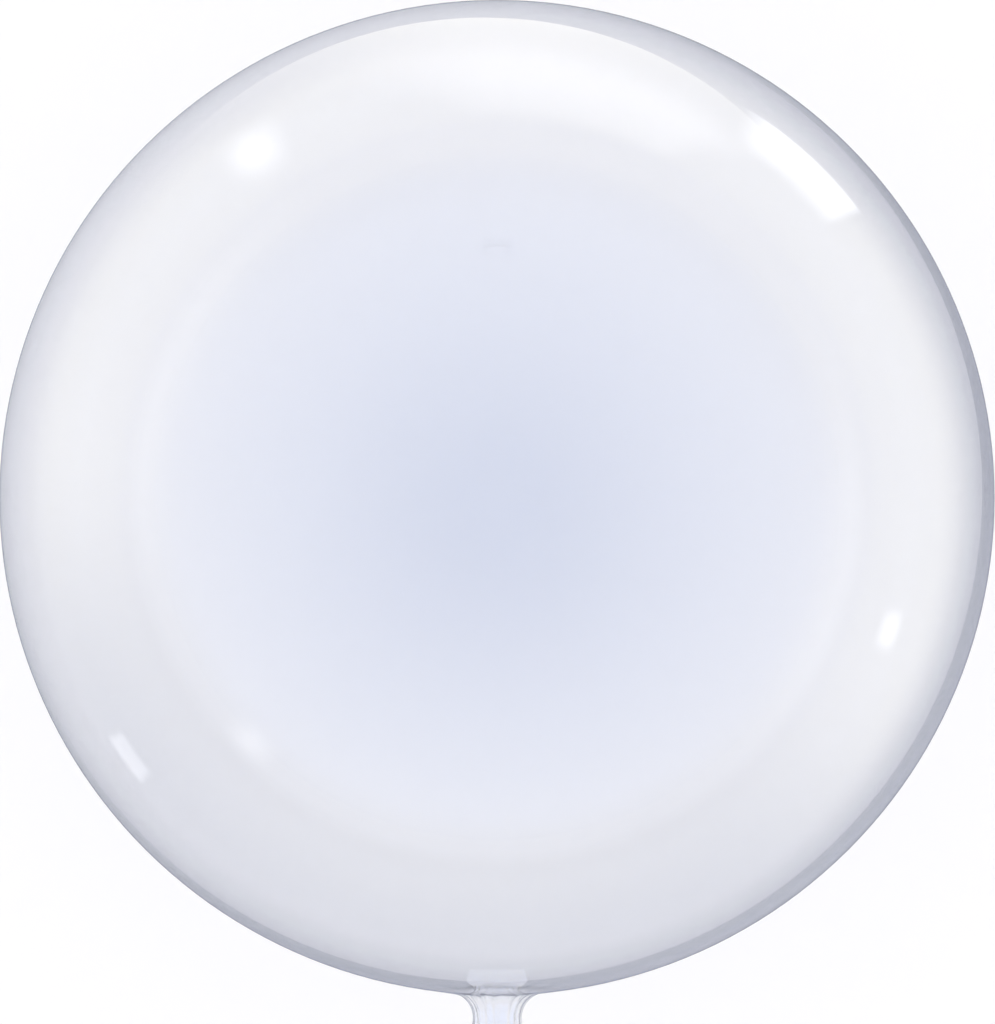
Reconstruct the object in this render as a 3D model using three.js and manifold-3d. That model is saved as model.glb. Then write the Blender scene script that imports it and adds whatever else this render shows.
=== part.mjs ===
// A clear bubble balloon, lying on its side.
// The film is blown in one piece: a round bubble that draws in to a short neck, which is pressed flat,
// welded shut and left as a flat tail. The sealed bubble is one solid.
// Millimetres, +Z up. The neck points along -Y, and the origin is the middle of the spot it lies on.
import * as THREE from "three";
import { mergeVertices } from "three/addons/utils/BufferGeometryUtils.js";
import Module from "manifold-3d";

// Driving dimensions
const BUBBLE_DIAMETER = 610; // inflated, the nominal 24 inch size
const LYING_SPOT_DIAMETER = 76; // where the film lies flat on what carries it
const NECK_DIAMETER = 28; // round neck, before it is pressed flat
const SHOULDER_RADIUS = 16; // hollow sweep from the bubble into the neck
const FLARE_LENGTH = 28; // over which the neck goes from round to flat
const TAIL_LENGTH = 34; // flat tail, weld included
const TAIL_THICKNESS = 0.4; // two plies of film lying together
const PLEAT_COUNT = 16; // gathers round the neck
const PLEAT_DEPTH = 0.7;
const PLEAT_REACH = 46; // radius on the bubble where the gathers have died out
const WELD_RIB_COUNT = 4; // ribs that the welding bar presses across the tail
const WELD_RIB_PITCH = 2;
const WELD_RIB_HEIGHT = 0.25;
const WELD_START = 2; // from the end of the flare to the first rib

// How finely the round faces are divided
const SIDES = 64;
const BUBBLE_STEPS = 34;
const SHOULDER_STEPS = 7;
const FLARE_STEPS = 8;

// Worked-out sizes. Distances along the neck are measured from the bubble's centre.
const bubbleRadius = BUBBLE_DIAMETER / 2;
const neckRadius = NECK_DIAMETER / 2;
const tailWidth = Math.PI * neckRadius; // half the neck's girth, as it lies flat
const centreHeight = Math.sqrt(bubbleRadius ** 2 - (LYING_SPOT_DIAMETER / 2) ** 2);
const shoulderCentreRadius = neckRadius + SHOULDER_RADIUS;
const flareStart = Math.sqrt((bubbleRadius + SHOULDER_RADIUS) ** 2 - shoulderCentreRadius ** 2);
const tailStart = flareStart + FLARE_LENGTH;
const tailEnd = tailStart + TAIL_LENGTH;
const shoulderAngle = Math.asin(shoulderCentreRadius / (bubbleRadius + SHOULDER_RADIUS));

// The film's outline from the end of the tail to the far pole, as (radius, height along Y) points.
function filmProfile() {
  const points = [new THREE.Vector2(0, -tailEnd), new THREE.Vector2(neckRadius, -tailEnd)];
  for (let rib = WELD_RIB_COUNT - 1; rib >= 0; rib--) {
    const start = tailStart + WELD_START + rib * WELD_RIB_PITCH;
    for (const along of [WELD_RIB_PITCH, WELD_RIB_PITCH / 2]) {
      points.push(new THREE.Vector2(neckRadius, -(start + along)));
    }
  }
  points.push(new THREE.Vector2(neckRadius, -(tailStart + WELD_START)));
  for (let step = FLARE_STEPS; step > 0; step--) {
    points.push(new THREE.Vector2(neckRadius, -(flareStart + (FLARE_LENGTH * step) / FLARE_STEPS)));
  }
  const shoulderTurn = Math.PI / 2 - shoulderAngle;
  for (let step = 0; step < SHOULDER_STEPS; step++) {
    const turn = (shoulderTurn * step) / SHOULDER_STEPS;
    const radius = shoulderCentreRadius - SHOULDER_RADIUS * Math.cos(turn);
    points.push(new THREE.Vector2(radius, -(flareStart - SHOULDER_RADIUS * Math.sin(turn))));
  }
  for (let step = 0; step < BUBBLE_STEPS; step++) {
    const angle = shoulderAngle + ((Math.PI - shoulderAngle) * step) / BUBBLE_STEPS;
    points.push(new THREE.Vector2(bubbleRadius * Math.sin(angle), -bubbleRadius * Math.cos(angle)));
  }
  points.push(new THREE.Vector2(0, bubbleRadius));
  return points;
}

// How far the neck has been pressed flat at a distance along it: 0 where it is round, 1 on the tail.
function flatness(along) {
  return THREE.MathUtils.smoothstep(along, flareStart, tailStart);
}

// How strong the gathers are: full at the neck, gone on the open bubble and on the flat tail.
function pleatStrength(radius, along) {
  if (along < 0) return 0;
  return (1 - THREE.MathUtils.smoothstep(radius, neckRadius, PLEAT_REACH)) * (1 - flatness(along));
}

// The tail's thickness, with the weld's ribs standing up on both faces.
function tailThickness(along) {
  const fromWeld = along - tailStart - WELD_START;
  const onWeld = fromWeld >= 0 && fromWeld <= WELD_RIB_COUNT * WELD_RIB_PITCH;
  const rib = onWeld ? Math.sin((Math.PI * fromWeld) / WELD_RIB_PITCH) ** 2 : 0;
  return TAIL_THICKNESS + 2 * WELD_RIB_HEIGHT * rib;
}

// Gathers the round film at the neck and presses the neck flat, from a turned film about the Y axis.
function shapeNeck(geometry) {
  const position = geometry.getAttribute("position");
  const normal = geometry.getAttribute("normal");
  const point = new THREE.Vector3();
  const outward = new THREE.Vector3();
  const tiny = 1e-6;
  for (let i = 0; i < position.count; i++) {
    point.fromBufferAttribute(position, i);
    outward.fromBufferAttribute(normal, i);
    const radius = Math.hypot(point.x, point.z);
    if (radius < tiny) continue;
    const along = -point.y;
    const round = Math.atan2(point.x, point.z);
    const pleat = PLEAT_DEPTH * pleatStrength(radius, along) * Math.cos(PLEAT_COUNT * round);
    point.addScaledVector(outward, pleat);
    const flat = flatness(along);
    if (flat > 0) {
      const facing = Math.cos(round);
      const side = Math.abs(facing) < tiny ? 0 : Math.sign(facing);
      const flatX = (Math.asin(Math.sin(round)) / (Math.PI / 2)) * (tailWidth / 2);
      const flatZ = (side * tailThickness(along)) / 2;
      point.x = THREE.MathUtils.lerp(point.x, flatX, flat);
      point.z = THREE.MathUtils.lerp(point.z, flatZ, flat);
    }
    position.setXYZ(i, point.x, point.y, point.z);
  }
  return geometry;
}

const wasm = await Module();
wasm.setup();

// A closed geometry as a solid that can be cut.
function solidOf(geometry) {
  const bare = geometry.clone();
  bare.deleteAttribute("normal");
  bare.deleteAttribute("uv");
  const merged = mergeVertices(bare, 1e-3);
  const vertProperties = new Float32Array(merged.getAttribute("position").array);
  const triVerts = new Uint32Array(merged.index.array);
  return new wasm.Manifold(new wasm.Mesh({ numProp: 3, vertProperties, triVerts }));
}

// A cut solid as a geometry that a mesh can carry.
function geometryOf(solid) {
  const { vertProperties, triVerts } = solid.getMesh();
  const geometry = new THREE.BufferGeometry();
  geometry.setAttribute("position", new THREE.BufferAttribute(new Float32Array(vertProperties), 3));
  geometry.setIndex(new THREE.BufferAttribute(new Uint32Array(triVerts), 1));
  geometry.computeVertexNormals();
  return geometry;
}

// The film, blown round, gathered and welded at the neck, and cut flat where it lies.
function bubbleFilm() {
  const film = shapeNeck(new THREE.LatheGeometry(filmProfile(), SIDES));
  const below = new THREE.BoxGeometry(BUBBLE_DIAMETER, BUBBLE_DIAMETER, BUBBLE_DIAMETER);
  below.translate(0, 0, -centreHeight - BUBBLE_DIAMETER / 2);
  return geometryOf(solidOf(film).subtract(solidOf(below)));
}

const clearFilm = new THREE.MeshStandardMaterial({
  color: 0xd9e0ee,
  roughness: 0.06,
  metalness: 0,
  transparent: true,
  opacity: 0.35,
});

const bubble = new THREE.Mesh(bubbleFilm(), clearFilm);
bubble.name = "bubble_film";
bubble.position.set(0, 0, centreHeight);

const balloon = new THREE.Group();
balloon.add(bubble);

export default balloon;
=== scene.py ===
"""A clear bubble balloon, lying on its side on a pale studio floor."""

import math
from collections import namedtuple

import bmesh
import bpy
from bpy.props import FloatProperty, FloatVectorProperty, IntProperty, PointerProperty
from mathutils import Matrix, Vector


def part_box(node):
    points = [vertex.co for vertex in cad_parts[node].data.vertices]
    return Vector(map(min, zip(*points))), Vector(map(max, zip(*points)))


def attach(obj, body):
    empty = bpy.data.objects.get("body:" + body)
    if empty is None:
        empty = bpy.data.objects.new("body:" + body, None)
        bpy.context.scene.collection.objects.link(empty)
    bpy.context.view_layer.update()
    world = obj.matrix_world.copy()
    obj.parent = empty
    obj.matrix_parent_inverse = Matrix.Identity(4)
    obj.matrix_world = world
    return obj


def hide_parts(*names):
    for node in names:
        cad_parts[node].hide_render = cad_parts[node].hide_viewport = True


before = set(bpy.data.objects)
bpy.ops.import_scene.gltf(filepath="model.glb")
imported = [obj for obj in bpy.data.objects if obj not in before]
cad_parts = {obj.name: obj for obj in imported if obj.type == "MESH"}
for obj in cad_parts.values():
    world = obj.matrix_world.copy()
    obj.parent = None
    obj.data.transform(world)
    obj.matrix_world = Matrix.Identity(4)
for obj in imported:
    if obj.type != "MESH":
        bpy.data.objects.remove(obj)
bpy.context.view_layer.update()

bl_info = {
    "name": "Clear Bubble Balloon",
    "version": (1, 0, 0),
    "blender": (4, 5, 0),
    "location": "3D View > Sidebar > Balloon",
    "description": "Makes a clear bubble balloon lying on its side, and the studio around it",
    "category": "Add Mesh",
}

# The frame, and the film's place in it
FILM_NODE = "bubble_film"
FILM_LOW, FILM_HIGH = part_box(FILM_NODE)

# The photograph's frame, in pixels, and the bubble's place in it
PHOTO_SIZE = (995, 1024)
BUBBLE_CENTRE_PX = (497.0, 497.65)
BUBBLE_RADIUS_PX = 497.6
SENSOR_MM = 36.0

# How finely the film is divided
SIDES = 192
RINGS = 96
SHOULDER_STEPS = 14
FLARE_STEPS = 18
TAIL_STEPS = 14
OPENING_MARGIN = 0.0001

# The gathers round the neck, as a sum of waves: each wave's share, its count round the neck and its start
GATHER_WAVES = ((0.55, 16, 0.4), (0.3, 23, 1.7), (0.15, 9, 2.9))
GATHER_SHARPNESS = 1.5

# Where the tail starts to wave before the weld's end, and how far past its own end it would wave fully
TAIL_HELD = 0.004
TAIL_LOOSE = 0.006

# Where the lying spot's edge is eased, as shares of the spot's radius
SPOT_EASE_IN = (0.3, 0.7)
SPOT_EASE_OUT = (1.6, 2.4)

# Patterns in the film, to the metre: faint clouds, and creases drawn out along the neck
CLOUD_SCALE = 4.5
CREASE_SCALE = 260.0
CREASE_DRAW = (1.0, 0.2, 1.0)
CREASE_DEPTH = 0.0012

# A lamp that shows in the gloss: where it shows in the photograph, how long it is along the rim and how
# wide across it, in pixels, how strong it is, and how soft its sides are towards the rim, towards the
# middle, and at its clockwise and other ends, as shares of half its size.
Lamp = namedtuple("Lamp", "name seen_at length width strength soft")
LAMPS = (
    Lamp("lamp_long", (788, 173), 150, 46, 2.0, (0.12, 0.9, 0.2, 0.6)),
    Lamp("lamp_round", (262, 161), 84, 74, 2.4, (1.0, 1.0, 1.0, 1.0)),
    Lamp("lamp_low_left", (136, 752), 62, 21, 1.25, (0.6, 0.6, 0.4, 0.4)),
    Lamp("lamp_right", (880, 627), 56, 28, 2.2, (0.8, 0.8, 0.8, 0.8)),
    Lamp("lamp_faint", (259, 735), 74, 42, 1.8, (1.0, 1.0, 1.0, 1.0)),
    Lamp("lamp_edge", (965, 450), 44, 14, 1.6, (0.8, 0.8, 0.8, 0.8)),
)
LAMP_DISTANCE = 0.55

# The floor as the gloss shows it, a painted reflection seen in the gloss alone, in metres. A pair says where
# a change starts and where it is complete.
# A flag lies under the bubble: painted shade, seen only in the gloss, that gives the film its dark rim. It is
# painted paler towards the upper left, as if lit from there.
FLAG_CENTRE = (0.048, -0.056, 0.0)
FLAG_RADIUS = 0.475
FLAG_SHADE = (0.31, 0.48)
FLAG_PAINTED_LIGHT = (-0.35, 0.4)
EDGE_WIDTH = 0.004
# A screen of painted shade dies away round the flag, seen only in the gloss, and darkens the film near its
# rim. It is painted paler towards the upper left too.
SCREEN_SHADE = (0.53, 1.05)
SCREEN_PAINTED_LIGHT = (-0.4, 0.7)
# A board lies beyond a slanting near edge, behind the far pole: a painted reflection, seen only in the gloss,
# that brightens the film on the far pole's side.
BOARD_NEAR_EDGE = 0.57
BOARD_SLANT = 0.25
BOARD_DEPTH = (0.8, 5.0)
BOARD_SHADE = (0.0, 0.6)
BOARD_LEFT_END = (-0.50, 0.05)
BOARD_RIGHT_END = (0.75, 0.35)
BOARD_RIGHT_FLARE = 0.5
# A low light lies round them all, and changes towards the horizon.
LOW_LIGHT = (2.0, 9.0)

# The room: how high its walls' light and shine reach over the horizon, as shares of straight up, and the
# neck's side of it, which is turned a little to the left and ends where a direction's share backwards says.
WALL_LIGHT_RISE = 0.35
WALL_SHINE_RISE = 0.25
FRONT_TURN = math.radians(15.0)
FRONT_SPREAD = (-0.8, -0.1)

# The pale floor, in metres: a painted pool of light in its colour round the balloon, painted darker further
# off, and a painted glow that only light from the film's gloss meets, further off or at a glancing angle.
FLOOR_POOL = (0.6, 3.0)
FLOOR_GLOW = (0.8, 1.6)
GLANCING = (0.78, 0.99)
FLOOR_DROP = 0.0006
SHINE_FLOOR_DROP = 0.002
NO_LIGHT = (0.0, 0.0, 0.0, 1.0)


def smooth_step(value, low, high):
    """0 below low, 1 above high, and an even S between them."""
    share = min(max((value - low) / (high - low), 0.0), 1.0)
    return share * share * (3.0 - 2.0 * share)


def colour_property(name, description, default):
    """A colour that a user can change. Light may be stronger than 1."""
    return FloatVectorProperty(
        name=name, description=description, default=default, size=3, min=0.0, soft_max=4.0, subtype="COLOR",
    )


def length_property(name, description, default):
    """A length in metres that a user can change."""
    return FloatProperty(name=name, description=description, default=default, precision=5, unit="LENGTH")


class FilmSizes(bpy.types.PropertyGroup):
    """Sizes of the film."""

    bubble_diameter: length_property("Bubble diameter", "Across the filled bubble", 2.0 * FILM_HIGH[1])
    spot_diameter: length_property("Lying spot", "Across the spot where the film lies flat", 0.076)
    film_thickness: length_property("Film thickness", "Thickness of the stretched film", 0.00012)
    neck_diameter: length_property(
        "Neck diameter", "Across the round neck, before it is pressed flat", 0.028,
    )
    shoulder_radius: length_property(
        "Shoulder radius", "Hollow sweep from the bubble into the neck", 0.016,
    )
    flare_length: length_property("Flare length", "Over which the neck goes from round to flat", 0.028)
    tail_thickness: length_property("Tail thickness", "Two plies of film lying together", 0.0004)
    weld_start: length_property("Weld start", "From the end of the flare to the first rib", 0.002)
    rib_count: IntProperty(name="Weld ribs", description="Ribs pressed across the tail", default=4)
    rib_pitch: length_property("Rib pitch", "From one rib to the next", 0.002)
    rib_height: length_property("Rib height", "How far a rib stands up from the tail", 0.00025)
    gather_depth: length_property("Gather depth", "How far the gathers stand out at the neck", 0.0014)
    gather_reach: length_property("Gather reach", "Radius on the bubble where the gathers end", 0.046)
    tail_wave: length_property("Tail wave", "How far the loose end of the tail waves", 0.006)


class FilmFinish(bpy.types.PropertyGroup):
    """Colours and gloss of the film."""

    tint: colour_property("Tint", "Colour of light that has passed the film", (0.984, 0.988, 0.994))
    tint_thick: colour_property(
        "Thick tint", "The same, where the film is least stretched", (0.976, 0.980, 0.990),
    )
    edge_tint: colour_property(
        "Edge tint", "Deepens where the film is seen edge on", (0.970, 0.971, 0.975),
    )
    index: FloatProperty(name="Index", description="Index of refraction of the clear plastic", default=1.48)
    roughness: FloatProperty(
        name="Roughness", description="Of the stretched film", default=0.012, subtype="FACTOR",
    )
    cloud_roughness: FloatProperty(
        name="Cloud roughness", description="Added to it in the clouds", default=0.008, subtype="FACTOR",
    )
    neck_roughness: FloatProperty(
        name="Neck roughness", description="Of the crinkled film at the neck", default=0.10, subtype="FACTOR",
    )


class StageLook(bpy.types.PropertyGroup):
    """Floor, light and camera."""

    camera_distance: length_property(
        "Camera distance", "From the camera to the middle of the bubble", 4.0,
    )
    floor_size: length_property("Floor size", "Side of the floor", 80.0)
    # The floor's colour is painted lighter round the balloon and darker further off: a painted pool of light.
    floor_colour: colour_property("Floor", "Pale floor", (0.93, 0.87, 0.76))
    floor_far: colour_property(
        "Floor further off", "The floor away from the balloon", (0.71, 0.667, 0.571),
    )
    floor_lift: colour_property(
        "Floor lift", "Light that evens the floor in the film", (0.25, 0.25, 0.25),
    )
    floor_glow: colour_property(
        "Floor glow", "Light that the floor gives off further away", (0.8, 0.8, 0.8),
    )
    front_light: colour_property(
        "Front light", "Soft light from low on the neck's side", (1.05, 1.05, 1.05),
    )
    wall_light: colour_property("Wall light", "Soft light from the other sides", (1.6, 1.6, 1.6))
    wall_colour: colour_property(
        "Wall", "The walls as they are seen, straight or through film", (0.8, 0.8, 0.8),
    )
    ceiling_light: colour_property("Ceiling light", "Soft light from above", (0.9, 1.0, 1.3))
    ceiling_shine: colour_property(
        "Ceiling shine", "The ceiling as the gloss shows it", (0.45, 1.1, 2.5),
    )
    wall_shine: colour_property("Wall shine", "The walls as the gloss shows them", (0.75, 0.85, 1.25))
    front_shine: colour_property(
        "Front shine", "Low down on the neck's side, in the gloss", (0.6, 0.65, 0.78),
    )
    back_shine: colour_property(
        "Back shine", "Low down on the other sides, in the gloss", (2.1, 2.05, 1.8),
    )
    front_far: colour_property(
        "Far front shine", "The neck's side at the horizon, in the gloss", (0.3, 0.33, 0.45),
    )
    back_far: colour_property(
        "Far back shine", "The other sides at the horizon, in the gloss", (1.6, 1.6, 1.6),
    )
    # Flag: painted shade on the film's rim, seen only in the gloss, with painted light towards the upper
    # left.
    flag_painted_shade: colour_property("Flag", "Middle of the flag that edges the bubble", (0.76, 0.78, 0.87))
    flag_rim_painted_shade: colour_property("Flag rim", "Rim of the flag", (0.15, 0.18, 0.27))
    flag_painted_light: colour_property("Flag far side", "The flag at the upper left", (1.05, 1.07, 1.1))
    # Screen: painted shade that darkens the film near its rim, seen only in the gloss, with painted light
    # towards the upper left.
    screen_painted_shade: colour_property("Screen", "Middle of the screen round the flag", (0.52, 0.54, 0.62))
    screen_rim: colour_property("Screen rim", "Rim of the screen", (0.8, 0.82, 0.9))
    screen_painted_light: colour_property("Screen far side", "The screen at the upper left", (1.15, 1.15, 1.2))
    # Board: a painted reflection of a bright board, seen only in the gloss.
    board_painted_reflection: colour_property("Board", "Bright board behind the far pole", (3.3, 3.2, 2.9))
    board_near_painted_reflection: colour_property("Board near edge", "The same board at its near edge", (2.2, 2.15, 1.95))


class Socket:
    """A node's output. Arithmetic on it adds Math nodes."""

    def __init__(self, tree, output):
        self.tree = tree
        self.output = output

    def maths(self, operation, first, second):
        return self.tree.node("ShaderNodeMath", {"operation": operation}, {0: first, 1: second})

    def __add__(self, other):
        return self.maths("ADD", self, other)

    __radd__ = __add__

    def __sub__(self, other):
        return self.maths("SUBTRACT", self, other)

    def __rsub__(self, other):
        return self.maths("SUBTRACT", other, self)

    def __mul__(self, other):
        return self.maths("MULTIPLY", self, other)

    __rmul__ = __mul__

    def __truediv__(self, other):
        return self.maths("DIVIDE", self, other)


class ShaderTree:
    """The nodes of a material or a world, cleared for new ones."""

    def __init__(self, owner):
        owner.use_nodes = True
        self.tree = owner.node_tree
        self.tree.nodes.clear()

    def node(self, kind, settings=None, inputs=None, output=0):
        """Adds a node, with its settings first and then its sockets' values or links."""
        node = self.tree.nodes.new(kind)
        for name, value in (settings or {}).items():
            setattr(node, name, value)
        for name, value in (inputs or {}).items():
            if isinstance(value, Socket):
                self.tree.links.new(value.output, node.inputs[name])
            else:
                node.inputs[name].default_value = value
        if not node.outputs:
            return None
        return Socket(self, node.outputs[output])

    def blend(self, share, first, second):
        """One colour that turns into another as a share goes from 0 to 1."""
        return self.node("ShaderNodeMix", {"data_type": "RGBA"}, {0: share, 6: first, 7: second}, output=2)

    def step(self, value, low, high):
        """0 at low, 1 at high, and an even S between them."""
        return self.node(
            "ShaderNodeMapRange",
            {"interpolation_type": "SMOOTHSTEP"},
            {"Value": value, "From Min": low, "From Max": high},
        )

    def part(self, vector, axis):
        """One axis of a vector."""
        return self.node("ShaderNodeSeparateXYZ", inputs={0: vector}, output=axis)

    def bounced(self, kind):
        """0 for light that has met no surface in a given way, and 1 for light that has."""
        return self.step(self.node("ShaderNodeLightPath", output=kind), 0.0, 1.0)

    def backward(self, right, back):
        """0 towards the neck's side, turned a little to the left, and 1 from the sides backwards."""
        return self.step(math.sin(FRONT_TURN) * right + math.cos(FRONT_TURN) * back, *FRONT_SPREAD)

    def distance(self, vector, point):
        """How far a vector is from a point."""
        return self.node(
            "ShaderNodeVectorMath", {"operation": "DISTANCE"}, {0: vector, 1: point}, output="Value",
        )


def opaque(colour):
    """A colour with full alpha, as sockets take it."""
    return (*colour, 1.0)


def deselect_all():
    """Leaves nothing selected in the scene."""
    bpy.ops.object.select_all(action="DESELECT")


def select_vertices(mesh, test):
    """In edit mode, selects just the vertices whose place passes a test."""
    edit = bmesh.from_edit_mesh(mesh)
    bpy.ops.mesh.select_mode(type="VERT")
    bpy.ops.mesh.select_all(action="DESELECT")
    for vertex in edit.verts:
        if test(vertex.co):
            vertex.select_set(True)
    edit.select_flush_mode()
    bmesh.update_edit_mesh(mesh, loop_triangles=False, destructive=False)


def apply_modifier(piece, name, kind, settings):
    """Adds a modifier to the active piece, sets it and applies it."""
    bpy.ops.object.modifier_add(type=kind)
    modifier = piece.modifiers[-1]
    modifier.name = name
    for setting, value in settings.items():
        setattr(modifier, setting, value)
    bpy.ops.object.modifier_apply(modifier=name)


class SkinMaker:
    """Models one face of the film's wall: the outer one, or the inner one, set in by the thickness."""

    def __init__(self, sizes, name, inset, to_tail_end):
        self.sizes = sizes
        self.name = name
        self.inset = inset
        self.to_tail_end = to_tail_end
        self.bubble = sizes.bubble_diameter / 2
        self.neck = sizes.neck_diameter / 2
        self.centre = math.sqrt(self.bubble ** 2 - (sizes.spot_diameter / 2) ** 2)
        self.shoulder_centre = self.neck + sizes.shoulder_radius
        sweep = self.bubble + sizes.shoulder_radius
        self.shoulder_angle = math.asin(self.shoulder_centre / sweep)
        self.flare_start = math.sqrt(sweep ** 2 - self.shoulder_centre ** 2)
        self.tail_start = self.flare_start + sizes.flare_length
        self.weld_end = self.tail_start + sizes.weld_start + sizes.rib_count * sizes.rib_pitch
        self.tail_end = -FILM_LOW[1]

    def neck_sections(self):
        """Sections from the bubble to the end, as (distance along the neck, half width, half height)."""
        sizes = self.sizes
        sections = []
        turn = math.pi / 2 - self.shoulder_angle
        for step in range(SHOULDER_STEPS):
            angle = turn * (1.0 - step / SHOULDER_STEPS)
            radius = self.shoulder_centre - sizes.shoulder_radius * math.cos(angle)
            sections.append((self.flare_start - sizes.shoulder_radius * math.sin(angle), radius, radius))
        tail_half_width = math.pi * self.neck / 2
        tail_half_height = sizes.tail_thickness / 2
        for step in range(FLARE_STEPS + 1):
            along = self.flare_start + sizes.flare_length * step / FLARE_STEPS
            flat = smooth_step(along, self.flare_start, self.tail_start)
            half_width = self.neck + (tail_half_width - self.neck) * flat
            half_height = self.neck + (tail_half_height - self.neck) * flat
            sections.append((along, half_width, half_height))
        for rib in range(sizes.rib_count):
            start = self.tail_start + sizes.weld_start + rib * sizes.rib_pitch
            sections.append((start, tail_half_width, tail_half_height))
            crest = tail_half_height + sizes.rib_height
            sections.append((start + sizes.rib_pitch / 2, tail_half_width, crest))
        for step in range(TAIL_STEPS + 1):
            along = self.weld_end + (self.tail_end - self.weld_end) * step / TAIL_STEPS
            sections.append((along, tail_half_width, tail_half_height))
        if self.to_tail_end:
            return sections
        narrowest = 6 * self.inset
        return [section for section in sections if section[2] > narrowest]

    def blow_bubble(self):
        """Adds the round bubble, with its poles on the neck's line, and opens it at the neck."""
        deselect_all()
        bpy.ops.mesh.primitive_uv_sphere_add(
            segments=SIDES, ring_count=RINGS, radius=self.bubble - self.inset,
            location=(0.0, 0.0, self.centre), rotation=(math.radians(90.0), 0.0, 0.0),
        )
        skin = bpy.context.active_object
        skin.name = self.name
        skin.data.name = self.name
        bpy.ops.object.transform_apply(location=True, rotation=True, scale=True)
        bpy.ops.object.mode_set(mode="EDIT")
        opening = self.bubble * math.sin(self.shoulder_angle) + OPENING_MARGIN

        def in_opening(place):
            return place.y < 0.0 and math.hypot(place.x, place.z - self.centre) < opening

        select_vertices(skin.data, in_opening)
        bpy.ops.mesh.delete(type="VERT")
        return skin

    def lay_down(self, skin):
        """Presses the underside flat where the bubble lies."""
        floor = self.inset
        select_vertices(skin.data, lambda place: place.z < floor)
        bpy.ops.transform.resize(value=(1.0, 1.0, 0.0), center_override=(0.0, 0.0, floor))

    def draw_neck(self, skin):
        """Draws the open edge out into the shoulder, the neck and, on the outer face, the weld and tail."""
        bpy.ops.mesh.select_mode(type="EDGE")
        bpy.ops.mesh.select_all(action="DESELECT")
        bpy.ops.mesh.select_non_manifold(extend=False)
        edit = bmesh.from_edit_mesh(skin.data)
        edge = [vertex.co for vertex in edit.verts if vertex.select]
        along = -edge[0].y
        width = max(place.x for place in edge)
        height = max(place.z for place in edge) - self.centre
        for next_along, next_width, next_height in self.neck_sections():
            next_width -= self.inset
            next_height -= self.inset
            bpy.ops.mesh.extrude_edges_move(
                TRANSFORM_OT_translate={"value": (0.0, along - next_along, 0.0)}
            )
            bpy.ops.transform.resize(
                value=(next_width / width, 1.0, next_height / height),
                center_override=(0.0, -next_along, self.centre),
            )
            along, width, height = next_along, next_width, next_height
        bpy.ops.mesh.edge_face_add()
        bpy.ops.mesh.select_all(action="SELECT")
        bpy.ops.mesh.normals_make_consistent(inside=False)

    def gather_share(self, place):
        """How far the gathers stand out at a place, from 0 to 1: sharp folds of uneven width."""
        along = -place.y
        if along < self.bubble * 0.9:
            return 0.0
        across = math.hypot(place.x, place.z - self.centre)
        turn = math.atan2(place.x, place.z - self.centre)
        wave = sum(share * math.cos(count * turn + start) for share, count, start in GATHER_WAVES)
        fold = max(0.5 + 0.5 * wave, 0.0) ** GATHER_SHARPNESS
        fade = 1.0 - smooth_step(across, self.neck, self.sizes.gather_reach)
        fade *= 1.0 - smooth_step(along, self.flare_start, self.tail_start)
        return fold * fade

    def tail_share(self, place):
        """How freely the tail waves at a place: not at all at the weld, fully at its end."""
        return smooth_step(-place.y, self.weld_end - TAIL_HELD, self.tail_end + TAIL_LOOSE)

    def spot_share(self, place):
        """How much the edge of the lying spot is eased at a place."""
        if place.z > self.centre:
            return 0.0
        across = math.hypot(place.x, place.y) / (self.sizes.spot_diameter / 2)
        return smooth_step(across, *SPOT_EASE_IN) * (1.0 - smooth_step(across, *SPOT_EASE_OUT))

    def weigh(self, skin, group_name, share_at):
        """Fills a vertex group from a share that is known at each place."""
        group = skin.vertex_groups.new(name=group_name)
        for vertex in skin.data.vertices:
            share = share_at(vertex.co)
            if share > 0.0:
                group.add([vertex.index], share, "REPLACE")

    def build(self):
        """Models the face and gives its object."""
        skin = self.blow_bubble()
        self.lay_down(skin)
        self.draw_neck(skin)
        bpy.ops.object.mode_set(mode="OBJECT")
        self.weigh(skin, "spot", self.spot_share)
        self.weigh(skin, "gathers", self.gather_share)
        self.weigh(skin, "tail", self.tail_share)
        eased = {"vertex_group": "spot", "factor": 0.5, "iterations": 12}
        apply_modifier(skin, "Ease spot", "SMOOTH", eased)
        gathered = {"vertex_group": "gathers", "mid_level": 0.0, "strength": self.sizes.gather_depth}
        apply_modifier(skin, "Gathers", "DISPLACE", gathered)
        waves = bpy.data.textures.new("tail_wave", "CLOUDS")
        waves.noise_scale = 0.022
        waves.noise_depth = 0
        waved = {
            "vertex_group": "tail", "texture": waves, "texture_coords": "LOCAL", "direction": "Z",
            "mid_level": 0.5, "strength": self.sizes.tail_wave,
        }
        apply_modifier(skin, "Tail wave", "DISPLACE", waved)
        return skin


def film_surface(tree, finish, settings):
    """Clear plastic that deepens in colour where it is seen edge on."""
    inputs = {
        "IOR": finish.index,
        "Transmission Weight": 1.0,
        "Coat Weight": 1.0,
        "Coat IOR": 1.0,
        "Coat Roughness": 0.0,
        "Coat Tint": opaque(finish.edge_tint),
    }
    inputs.update(settings)
    film = tree.node("ShaderNodeBsdfPrincipled", inputs=inputs)
    tree.node("ShaderNodeOutputMaterial", inputs={"Surface": film})


def film_tint(tree, place, finish):
    """Faint clouds where the film has stretched less, and the colour that they give it."""
    cloud = tree.node(
        "ShaderNodeTexNoise", inputs={"Vector": place, "Scale": CLOUD_SCALE, "Detail": 1.0},
    )
    return cloud, tree.blend(cloud, opaque(finish.tint), opaque(finish.tint_thick))


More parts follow.
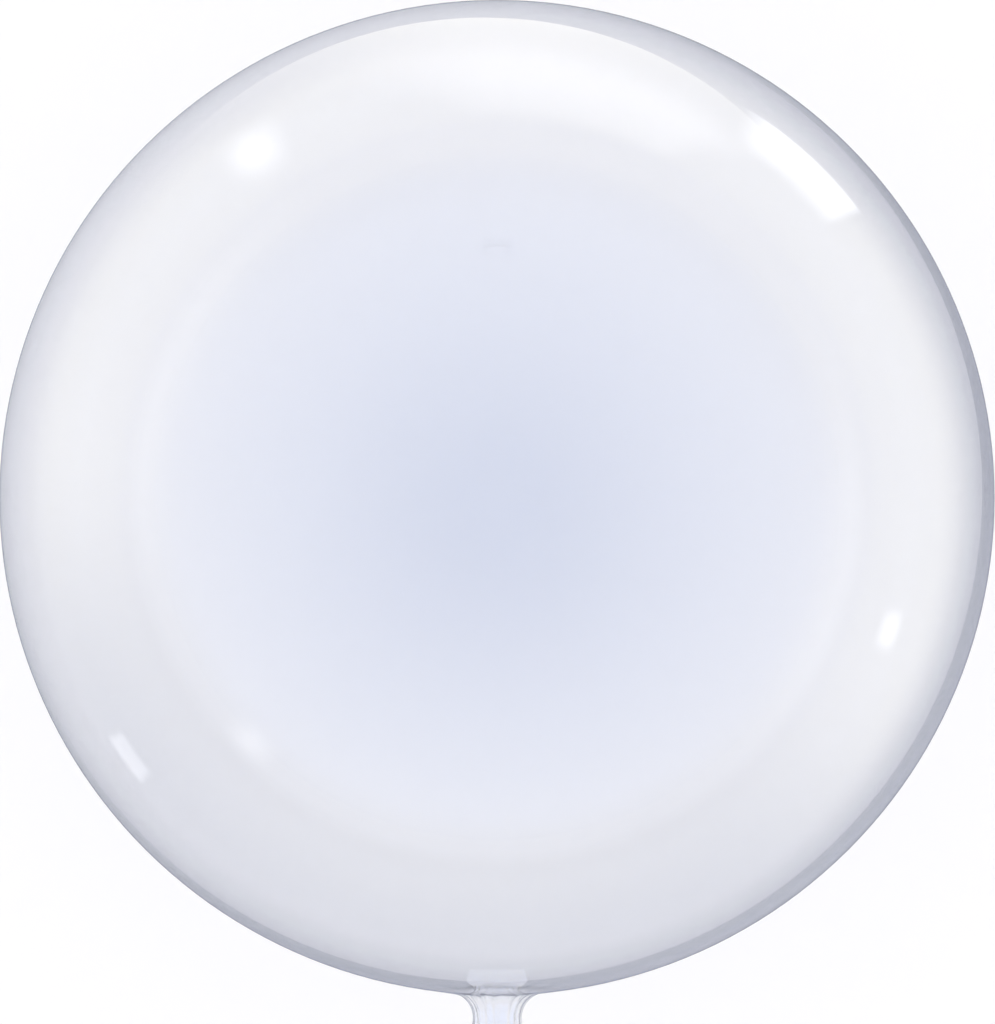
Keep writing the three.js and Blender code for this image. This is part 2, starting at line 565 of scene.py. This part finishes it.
def stretched_film(finish):
    """The bubble: very glossy, and a little less so in its clouds."""
    material = bpy.data.materials.new("stretched_film")
    tree = ShaderTree(material)
    place = tree.node("ShaderNodeTexCoord", output="Object")
    cloud, colour = film_tint(tree, place, finish)
    roughness = finish.roughness + finish.cloud_roughness * cloud
    film_surface(tree, finish, {"Base Color": colour, "Roughness": roughness})
    return material


def gathered_film(finish, start, full):
    """The neck, weld and tail: duller and crinkled, more and more from where the gathers start."""
    material = bpy.data.materials.new("gathered_film")
    tree = ShaderTree(material)
    place = tree.node("ShaderNodeTexCoord", output="Object")
    gathered = tree.step(tree.part(place, "Y"), start, full)
    drawn = tree.node("ShaderNodeMapping", inputs={"Vector": place, "Scale": CREASE_DRAW})
    crinkle = {"Vector": drawn, "Scale": CREASE_SCALE, "Detail": 3.0, "Roughness": 0.55}
    creases = tree.node("ShaderNodeTexNoise", inputs=crinkle)
    raised = {"Strength": 0.5, "Distance": CREASE_DEPTH, "Height": creases * gathered}
    _, colour = film_tint(tree, place, finish)
    settings = {
        "Base Color": colour,
        "Roughness": finish.roughness + finish.neck_roughness * creases * gathered,
        "Normal": tree.node("ShaderNodeBump", inputs=raised),
    }
    film_surface(tree, finish, settings)
    return material


class BALLOON_OT_film(bpy.types.Operator):
    """Makes the film: a double-walled bubble with a gathered neck, a weld and a flat tail"""

    bl_idname = "balloon.film"
    bl_label = "Clear film"
    bl_options = {"REGISTER", "UNDO"}

    def execute(self, context):
        sizes = context.scene.balloon_sizes
        finish = context.scene.balloon_finish
        inner = SkinMaker(sizes, "film_inner_face", sizes.film_thickness, False).build()
        bpy.ops.object.mode_set(mode="EDIT")
        bpy.ops.mesh.select_all(action="SELECT")
        bpy.ops.mesh.flip_normals()
        bpy.ops.object.mode_set(mode="OBJECT")
        outer = SkinMaker(sizes, "clear_film_bubble", 0.0, True)
        film = outer.build()
        deselect_all()
        inner.select_set(True)
        film.select_set(True)
        context.view_layer.objects.active = film
        bpy.ops.object.join()
        bpy.ops.object.shade_smooth_by_angle(angle=math.radians(50.0))
        film.vertex_groups.clear()
        gather_edge = -math.sqrt(outer.bubble ** 2 - sizes.gather_reach ** 2)
        film.data.materials.clear()
        film.data.materials.append(stretched_film(finish))
        film.data.materials.append(gathered_film(finish, gather_edge, -outer.flare_start))
        bpy.ops.object.mode_set(mode="EDIT")
        select_vertices(film.data, lambda place: place.y < gather_edge)
        film.active_material_index = 1
        bpy.ops.object.material_slot_assign()
        bpy.ops.object.mode_set(mode="OBJECT")
        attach(film, "root")
        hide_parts(FILM_NODE)
        return {"FINISHED"}


def only_in_gloss(thing, material):
    """Gives a lamp, flag, screen or board its glow, and lets it show in the gloss alone."""
    material.cycles.emission_sampling = "NONE"
    thing.data.materials.append(material)
    thing.visible_camera = False
    thing.visible_diffuse = False
    thing.visible_transmission = False
    thing.visible_volume_scatter = False
    thing.visible_shadow = False


def shine_floor_glow(look):
    """The floor as the gloss shows it, a painted reflection: a flag and a screen of painted shade, a bright
    board, and the low light round them.
    """
    material = bpy.data.materials.new("shine_floor")
    tree = ShaderTree(material)
    place = tree.node("ShaderNodeTexCoord", output="Object")
    right = tree.part(place, "X")
    back = tree.part(place, "Y")
    across = tree.distance(place, (0.0, 0.0, 0.0))
    to_upper_left = math.sqrt(0.5) * (back - right)
    backward = tree.backward(right / across, back / across)
    low = tree.blend(backward, opaque(look.front_shine), opaque(look.back_shine))
    far = tree.blend(backward, opaque(look.front_far), opaque(look.back_far))
    colour = tree.blend(tree.step(across, *LOW_LIGHT), low, far)
    # The screen: painted shade in the gloss, painted paler towards the upper left.
    outward = tree.step(across, *SCREEN_SHADE)
    pale = tree.step(to_upper_left, *SCREEN_PAINTED_LIGHT)
    screen = tree.blend(outward, opaque(look.screen_painted_shade), opaque(look.screen_rim))
    screen = tree.blend(pale, screen, opaque(look.screen_painted_light))
    colour = tree.blend(outward, screen, colour)
    # The board: a painted reflection, bright on the film on the far pole's side.
    behind_edge = back - BOARD_SLANT * right - BOARD_NEAR_EDGE
    on_board = tree.step(behind_edge, 0.0, EDGE_WIDTH) * (1 - tree.step(behind_edge, *BOARD_DEPTH))
    on_board = on_board * tree.step(right, *BOARD_LEFT_END)
    on_board = on_board * tree.step(right - BOARD_RIGHT_FLARE * behind_edge, *BOARD_RIGHT_END)
    board_share = tree.step(behind_edge, *BOARD_SHADE)
    board = tree.blend(board_share, opaque(look.board_near_painted_reflection), opaque(look.board_painted_reflection))
    colour = tree.blend(on_board, colour, board)
    # The flag: painted shade for the film's dark rim, painted paler towards the upper left.
    from_flag = tree.distance(place, FLAG_CENTRE)
    flag = tree.blend(tree.step(from_flag, *FLAG_SHADE), opaque(look.flag_painted_shade), opaque(look.flag_rim_painted_shade))
    flag = tree.blend(tree.step(to_upper_left, *FLAG_PAINTED_LIGHT), flag, opaque(look.flag_painted_light))
    colour = tree.blend(tree.step(from_flag, FLAG_RADIUS - EDGE_WIDTH, FLAG_RADIUS), flag, colour)
    glow = tree.node("ShaderNodeEmission", inputs={"Color": colour})
    tree.node("ShaderNodeOutputMaterial", inputs={"Surface": glow})
    return material


def lamp_glow(lamp):
    """A lamp's glow, which is added to what lies behind it and dies away at its soft sides."""
    rim_side, middle_side, clockwise_end, other_end = (0.5 * soft for soft in lamp.soft)
    material = bpy.data.materials.new(lamp.name)
    tree = ShaderTree(material)
    place = tree.node("ShaderNodeTexCoord", output="UV")
    along = tree.part(place, "X")
    across = tree.part(place, "Y")
    share = tree.step(across, 0.0, rim_side) * tree.step(across, 1.0, 1.0 - middle_side)
    share = share * tree.step(along, 0.0, clockwise_end) * tree.step(along, 1.0, 1.0 - other_end)
    glow = tree.node("ShaderNodeEmission", inputs={"Strength": share * lamp.strength})
    clear = tree.node("ShaderNodeBsdfTransparent")
    shown = tree.node("ShaderNodeAddShader", inputs={0: glow, 1: clear})
    tree.node("ShaderNodeOutputMaterial", inputs={"Surface": shown})
    return material


class BALLOON_OT_stage(bpy.types.Operator):
    """Makes the pale floor, the soft light and the camera that looks down on the balloon"""

    bl_idname = "balloon.stage"
    bl_label = "Stage"
    bl_options = {"REGISTER", "UNDO"}

    def execute(self, context):
        look = context.scene.balloon_stage
        sizes = context.scene.balloon_sizes
        radius = sizes.bubble_diameter / 2
        centre = Vector((0.0, 0.0, math.sqrt(radius ** 2 - (sizes.spot_diameter / 2) ** 2)))
        self.lay_floor(look)
        self.light_room(context, look)
        self.lay_shine_floor(look)
        for lamp in LAMPS:
            self.hang_lamp(lamp, radius, centre)
        self.place_camera(context, look, radius, centre)
        self.set_light_paths(context.scene)
        return {"FINISHED"}

    def lay_floor(self, look):
        """A pale floor with a painted pool of light round the balloon, that glows for light from the film's
        gloss alone: a painted glow.
        """
        deselect_all()
        bpy.ops.mesh.primitive_plane_add(size=look.floor_size, location=(0.0, 0.0, -FLOOR_DROP))
        floor = bpy.context.active_object
        floor.name = "floor"
        material = bpy.data.materials.new("pale_floor")
        tree = ShaderTree(material)
        place = tree.node("ShaderNodeTexCoord", output="Object")
        across = tree.distance(place, (0.0, 0.0, 0.0))
        backward = tree.backward(tree.part(place, "X") / across, tree.part(place, "Y") / across)
        # A painted pool of light: the floor's colour is lighter round the balloon and darker further off.
        aside = tree.step(across, *FLOOR_POOL)
        lift = tree.blend(aside, NO_LIGHT, opaque(look.floor_lift))
        glancing = tree.step(tree.node("ShaderNodeLayerWeight", output="Facing"), *GLANCING)
        glowing = 1 - (1 - tree.step(across, *FLOOR_GLOW)) * (1 - glancing)
        glow = tree.blend(glowing * backward, lift, opaque(look.floor_glow))
        inputs = {
            "Base Color": tree.blend(aside, opaque(look.floor_colour), opaque(look.floor_far)),
            "Roughness": 0.8,
            "Specular IOR Level": 0.0,
            "Emission Color": tree.blend(tree.bounced("Glossy Depth"), NO_LIGHT, glow),
            "Emission Strength": 1.0,
        }
        surface = tree.node("ShaderNodeBsdfPrincipled", inputs=inputs)
        tree.node("ShaderNodeOutputMaterial", inputs={"Surface": surface})
        material.cycles.emission_sampling = "NONE"
        floor.data.materials.append(material)
        floor.visible_glossy = False

    def light_room(self, context, look):
        """Soft light from all round. The walls are plain where they are seen, and the gloss shows a painted
        reflection of other walls and a ceiling.
        """
        world = bpy.data.worlds.new("studio")
        context.scene.world = world
        world.cycles.sampling_method = "NONE"
        tree = ShaderTree(world)
        way = tree.node("ShaderNodeTexCoord", output="Generated")
        height = tree.part(way, "Z")
        backward = tree.backward(tree.part(way, "X"), tree.part(way, "Y"))
        horizon = tree.blend(backward, opaque(look.front_light), opaque(look.wall_light))
        dome = tree.blend(height, opaque(look.wall_light), opaque(look.ceiling_light))
        light = tree.blend(tree.step(height, 0.0, WALL_LIGHT_RISE), horizon, dome)
        lighting = 1 - (1 - tree.bounced("Diffuse Depth")) * (1 - tree.bounced("Glossy Depth"))
        light = tree.blend(lighting, opaque(look.wall_colour), light)
        low_shine = tree.blend(backward, opaque(look.front_far), opaque(look.back_far))
        dome_shine = tree.blend(height, opaque(look.wall_shine), opaque(look.ceiling_shine))
        shine = tree.blend(tree.step(height, 0.0, WALL_SHINE_RISE), low_shine, dome_shine)
        in_gloss = tree.node("ShaderNodeLightPath", output="Is Glossy Ray")
        in_gloss = in_gloss * tree.node("ShaderNodeLightPath", output="Is Reflection Ray")
        room = tree.node("ShaderNodeBackground", inputs={"Color": tree.blend(in_gloss, light, shine)})
        tree.node("ShaderNodeOutputWorld", inputs={"Surface": room})

    def lay_shine_floor(self, look):
        """The floor that the gloss shows instead of the pale one: a painted reflection."""
        deselect_all()
        bpy.ops.mesh.primitive_plane_add(size=look.floor_size, location=(0.0, 0.0, -SHINE_FLOOR_DROP))
        shine_floor = bpy.context.active_object
        shine_floor.name = "shine_floor"
        only_in_gloss(shine_floor, shine_floor_glow(look))

    def hang_lamp(self, lamp, radius, centre):
        """Hangs a lamp where the gloss shows it at its place in the photograph, at its size there."""
        right = (lamp.seen_at[0] - BUBBLE_CENTRE_PX[0]) / BUBBLE_RADIUS_PX
        up = (BUBBLE_CENTRE_PX[1] - lamp.seen_at[1]) / BUBBLE_RADIUS_PX
        lift = math.sqrt(1.0 - right * right - up * up)
        normal = Vector((right, up, lift))
        ray = 2.0 * lift * normal - Vector((0.0, 0.0, 1.0))
        along = Vector((-up, right, 0.0)).normalized()
        metres_per_px = radius / BUBBLE_RADIUS_PX
        length = lamp.length * metres_per_px * (1.0 + 2.0 * LAMP_DISTANCE * lift / radius)
        width = lamp.width * metres_per_px * (1.0 + 2.0 * LAMP_DISTANCE / (radius * lift))
        turn = Matrix((along, ray.cross(along), ray)).transposed().to_4x4()
        deselect_all()
        bpy.ops.mesh.primitive_plane_add(size=1.0)
        card = bpy.context.active_object
        card.name = lamp.name
        place = Matrix.Translation(centre + radius * normal + LAMP_DISTANCE * ray)
        card.matrix_world = place @ turn @ Matrix.Diagonal((length, width, 1.0, 1.0))
        only_in_gloss(card, lamp_glow(lamp))

    def place_camera(self, context, look, radius, centre):
        """Looks straight down, with the bubble where the photograph shows it."""
        half_angle = math.asin(radius / look.camera_distance)
        focal_px = BUBBLE_RADIUS_PX / math.tan(half_angle)
        metres_per_px = look.camera_distance / focal_px
        across = (PHOTO_SIZE[0] / 2 - BUBBLE_CENTRE_PX[0]) * metres_per_px
        down = (PHOTO_SIZE[1] / 2 - BUBBLE_CENTRE_PX[1]) * metres_per_px
        deselect_all()
        bpy.ops.object.camera_add(
            location=(across, -down, centre.z + look.camera_distance), rotation=(0.0, 0.0, 0.0),
        )
        camera = bpy.context.active_object
        camera.name = "camera"
        camera.data.sensor_width = SENSOR_MM
        camera.data.lens = focal_px * SENSOR_MM / max(PHOTO_SIZE)
        camera.data.clip_end = 200.0
        context.scene.camera = camera

    def set_light_paths(self, scene):
        """Lets light pass the film many times, unblurred, and shows colours as they are."""
        scene.cycles.max_bounces = 16
        scene.cycles.transmission_bounces = 16
        scene.cycles.glossy_bounces = 8
        scene.cycles.blur_glossy = 0.0
        scene.view_settings.view_transform = "Standard"
        scene.view_settings.look = "None"


class BALLOON_PT_panel(bpy.types.Panel):
    """The balloon's sizes, finish and stage"""

    bl_idname = "BALLOON_PT_panel"
    bl_label = "Bubble balloon"
    bl_space_type = "VIEW_3D"
    bl_region_type = "UI"
    bl_category = "Balloon"

    def draw(self, context):
        scene = context.scene
        for operator, groups in (
            (BALLOON_OT_film, (scene.balloon_sizes, scene.balloon_finish)),
            (BALLOON_OT_stage, (scene.balloon_stage,)),
        ):
            box = self.layout.box()
            for group in groups:
                for name in group.__annotations__:
                    box.prop(group, name)
            box.operator(operator.bl_idname)


CLASSES = (FilmSizes, FilmFinish, StageLook, BALLOON_OT_film, BALLOON_OT_stage, BALLOON_PT_panel)


def register():
    for kind in CLASSES:
        bpy.utils.register_class(kind)
    bpy.types.Scene.balloon_sizes = PointerProperty(type=FilmSizes)
    bpy.types.Scene.balloon_finish = PointerProperty(type=FilmFinish)
    bpy.types.Scene.balloon_stage = PointerProperty(type=StageLook)


def unregister():
    del bpy.types.Scene.balloon_stage
    del bpy.types.Scene.balloon_finish
    del bpy.types.Scene.balloon_sizes
    for kind in reversed(CLASSES):
        bpy.utils.unregister_class(kind)


def main():
    register()
    bpy.ops.balloon.film()
    bpy.ops.balloon.stage()


if __name__ == "__main__":
    main()
